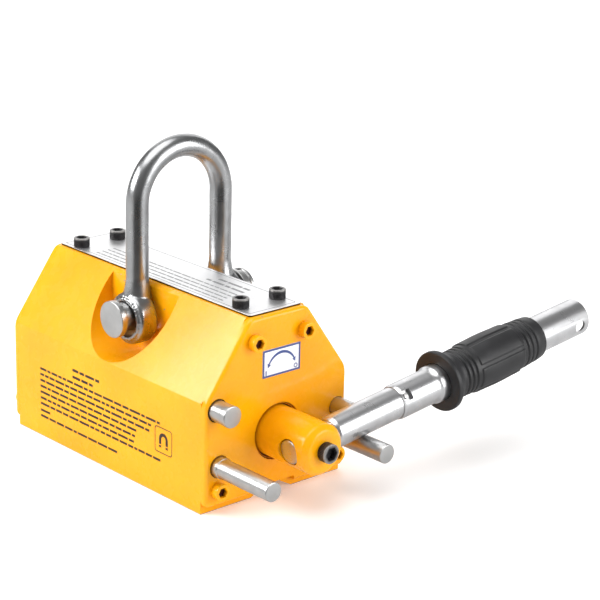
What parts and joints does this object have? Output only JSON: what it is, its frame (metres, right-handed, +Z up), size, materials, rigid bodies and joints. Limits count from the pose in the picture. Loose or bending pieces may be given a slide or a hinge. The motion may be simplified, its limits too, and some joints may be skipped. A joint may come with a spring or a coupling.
{
  "type": "lifting magnet",
  "caption": "Hand-switched permanent-magnet lifter: yellow steel housing with a V-grooved pole face, turning rotor with a sliding gripped handle, stop pins and a swinging shackle.",
  "frame": {"origin": "middle of the overall box in X and Y, at the height of the pole faces that grip the load", "axes": "+X towards the handle's free end at OFF, +Y from the handle end of the housing to its rear end, +Z up towards the shackle"},
  "size_m": [0.244, 0.207, 0.1694],
  "materials": {
    "yellow_paint": "glossy amber-yellow enamel over machined steel",
    "bare_aluminium": "brushed, printed plate left blank",
    "label": "white film with a blue border and arrow",
    "bright_steel": "turned and zinc plated",
    "forged_steel": "forged, tumbled and zinc plated",
    "plated_steel": "satin chrome plate",
    "spring_steel": "oiled spring wire",
    "rotor_steel": "turned low-carbon steel",
    "magnet": "nickel-plated sintered magnet",
    "bronze": "turned bronze",
    "black_oxide": "black oxide, oiled",
    "black_rubber": "moulded, matt",
    "grip_rubber": "moulded, satin",
    "black_plastic": "moulded, fine texture"
  },
  "bodies": {
    "housing": {"left_pole": "yellow_paint", "right_pole": "yellow_paint", "bottom_separator": "bronze", "top_spacer": "bare_aluminium", "front_end_plate": "yellow_paint", "rear_end_plate": "yellow_paint", "nameplate": "bare_aluminium", "off_on_label": "label", "stator_magnet_1": "magnet", "stator_magnet_2": "magnet", "stator_magnet_3": "magnet", "front_plate_screw_1": "yellow_paint", "front_plate_screw_2": "yellow_paint", "front_plate_screw_3": "yellow_paint", "front_plate_screw_4": "yellow_paint", "rear_plate_screw_1": "yellow_paint", "rear_plate_screw_2": "yellow_paint", "rear_plate_screw_3": "yellow_paint", "rear_plate_screw_4": "yellow_paint", "nameplate_screw_1": "black_oxide", "nameplate_screw_2": "black_oxide", "nameplate_screw_3": "black_oxide", "nameplate_screw_4": "black_oxide", "left_stop_pin": "bright_steel", "right_stop_pin": "bright_steel", "short_pin": "bright_steel", "lock_pin_ring": "black_rubber", "front_bush": "bronze", "rear_bush": "bronze", "hub_seal": "black_rubber", "shackle_pin": "bright_steel", "shackle_pin_collar": "bright_steel", "collar_roll_pin": "bright_steel"},
    "rotor": {"rotor_pole_left": "rotor_steel", "rotor_pole_right": "rotor_steel", "rotor_strip_upper": "bronze", "rotor_strip_lower": "bronze", "front_hub": "yellow_paint", "rear_journal": "rotor_steel", "hub_screw": "black_oxide", "rotor_magnet_1": "magnet", "rotor_magnet_2": "magnet", "rotor_magnet_3": "magnet", "front_flange_screw_left": "black_oxide", "front_flange_screw_right": "black_oxide", "rear_flange_screw_left": "black_oxide", "rear_flange_screw_right": "black_oxide", "handle_rod": "plated_steel", "guide_pin": "bright_steel", "handle_spring": "spring_steel"},
    "sliding_handle": {"handle_tube": "plated_steel", "handle_grip": "grip_rubber", "handle_end_plug": "black_plastic"},
    "shackle": {"shackle": "forged_steel"},
    "lock_pin": {"lock_pin": "bright_steel"}
  },
  "joints": [
    {"name": "handle_turn", "type": "hinge", "parent": "housing", "child": "rotor", "pos_m": [-0.07596, -0.0856, 0.034], "axis": [0, -1, 0], "range_deg": [0, 165.6]},
    {"name": "grip_slide", "type": "slide", "parent": "rotor", "child": "sliding_handle", "axis": [0.9921, 0, 0.1253], "range_m": [-0.002, 0], "stiffness_N_per_m": 2000, "springref_m": 0.004, "deforming": ["handle_spring"]},
    {"name": "shackle_swing", "type": "hinge", "parent": "housing", "child": "shackle", "pos_m": [-0.07596, 0.0163, 0.0798], "axis": [1, 0, 0], "range_deg": [-50, 50]},
    {"name": "lock_pin_slide", "type": "slide", "parent": "housing", "child": "lock_pin", "axis": [0, -1, 0], "range_m": [0, 0.008]}
  ]
}
